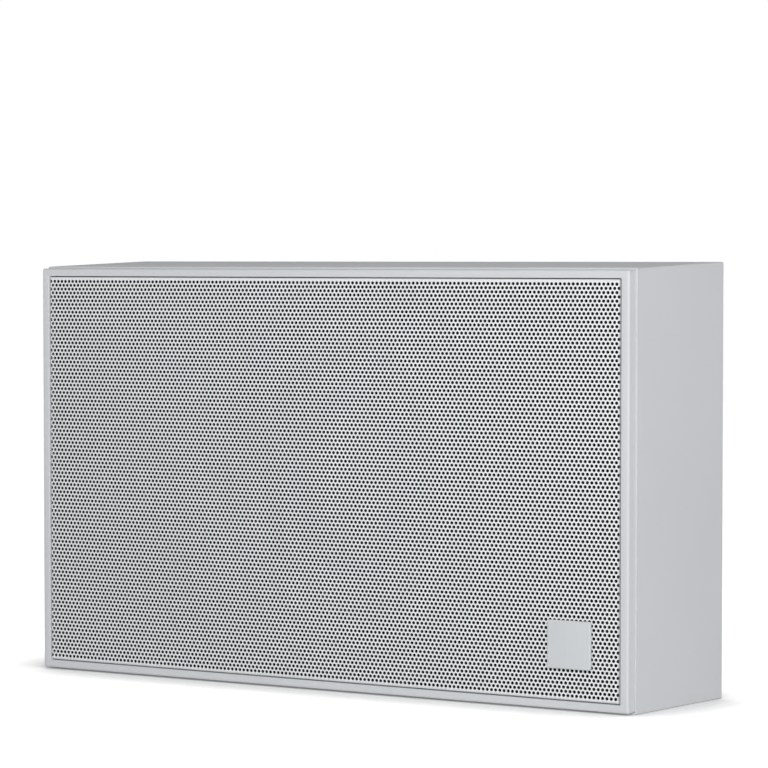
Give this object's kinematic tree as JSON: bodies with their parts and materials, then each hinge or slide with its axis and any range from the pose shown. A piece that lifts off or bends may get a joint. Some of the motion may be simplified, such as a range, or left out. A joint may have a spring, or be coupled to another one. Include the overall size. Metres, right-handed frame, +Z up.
{
  "type": "wall speaker",
  "caption": "Rectangular wall speaker: shallow drafted cabinet, plugged-in front frame, crowned perforated steel grille with a small square badge, dual cone driver and line transformer",
  "frame": {"origin": "centre of the back, on the wall", "axes": "the wall is the plane y = 0, the front faces -Y, +Z is up as the speaker hangs, +X is to the viewer's right seen from the front"},
  "size_m": [0.3028, 0.0861, 0.1876],
  "materials": {
    "moulding": "light grey, fine texture",
    "grille_paint": "light grey powder coat",
    "cloth": "black acoustic cloth",
    "badge_plate": "satin",
    "zinc_steel": "zinc plated",
    "black_rubber": "matt",
    "cone_paper": "doped pulp",
    "whizzer_paper": "natural pulp",
    "cap_paper": "black felted",
    "former_paper": "kraft",
    "copper": "enamelled copper wire",
    "spider_cloth": "resin dipped",
    "plated_steel": "yellow passivated",
    "ferrite": "sintered",
    "board": "hard paper board",
    "brass_part": "tinned",
    "core_steel": "varnished laminations",
    "bobbin": "natural",
    "winding": "taped",
    "steatite": "unglazed",
    "lead_red": "insulated lead",
    "lead_black": "insulated lead",
    "braid": "braided"
  },
  "bodies": {
    "cabinet_body": {"cabinet": "moulding", "front_frame": "moulding", "grille": "grille_paint", "grille_cloth": "cloth", "badge": "badge_plate", "badge_clips": "zinc_steel", "wall_plate": "zinc_steel", "lock_screws": "zinc_steel", "cable_grommet": "black_rubber", "driver_gasket": "black_rubber", "basket": "plated_steel", "surround": "black_rubber", "spider": "spider_cloth", "top_plate": "plated_steel", "magnet": "ferrite", "yoke": "plated_steel", "driver_terminal": "board", "driver_tags": "brass_part", "tinsel_leads": "braid", "driver_screws": "zinc_steel", "transformer_core": "core_steel", "transformer_bobbin": "bobbin", "transformer_winding": "winding", "transformer_bracket": "zinc_steel", "transformer_screws": "zinc_steel", "terminal_block": "steatite", "terminal_inserts": "brass_part", "terminal_screws": "zinc_steel", "block_screw": "zinc_steel", "thermal_fuse": "steatite", "line_leads": "lead_red", "speaker_leads": "lead_black"},
    "diaphragm": {"cone": "cone_paper", "whizzer_cone": "whizzer_paper", "dust_cap": "cap_paper", "coil_former": "former_paper", "voice_coil": "copper"}
  },
  "joints": [
    {"name": "cone_travel", "type": "slide", "parent": "cabinet_body", "child": "diaphragm", "axis": [0, -1, 0], "range_m": [-0.002, 0.002], "stiffness_N_per_m": 2000, "deforming": ["surround", "spider", "tinsel_leads"]}
  ]
}
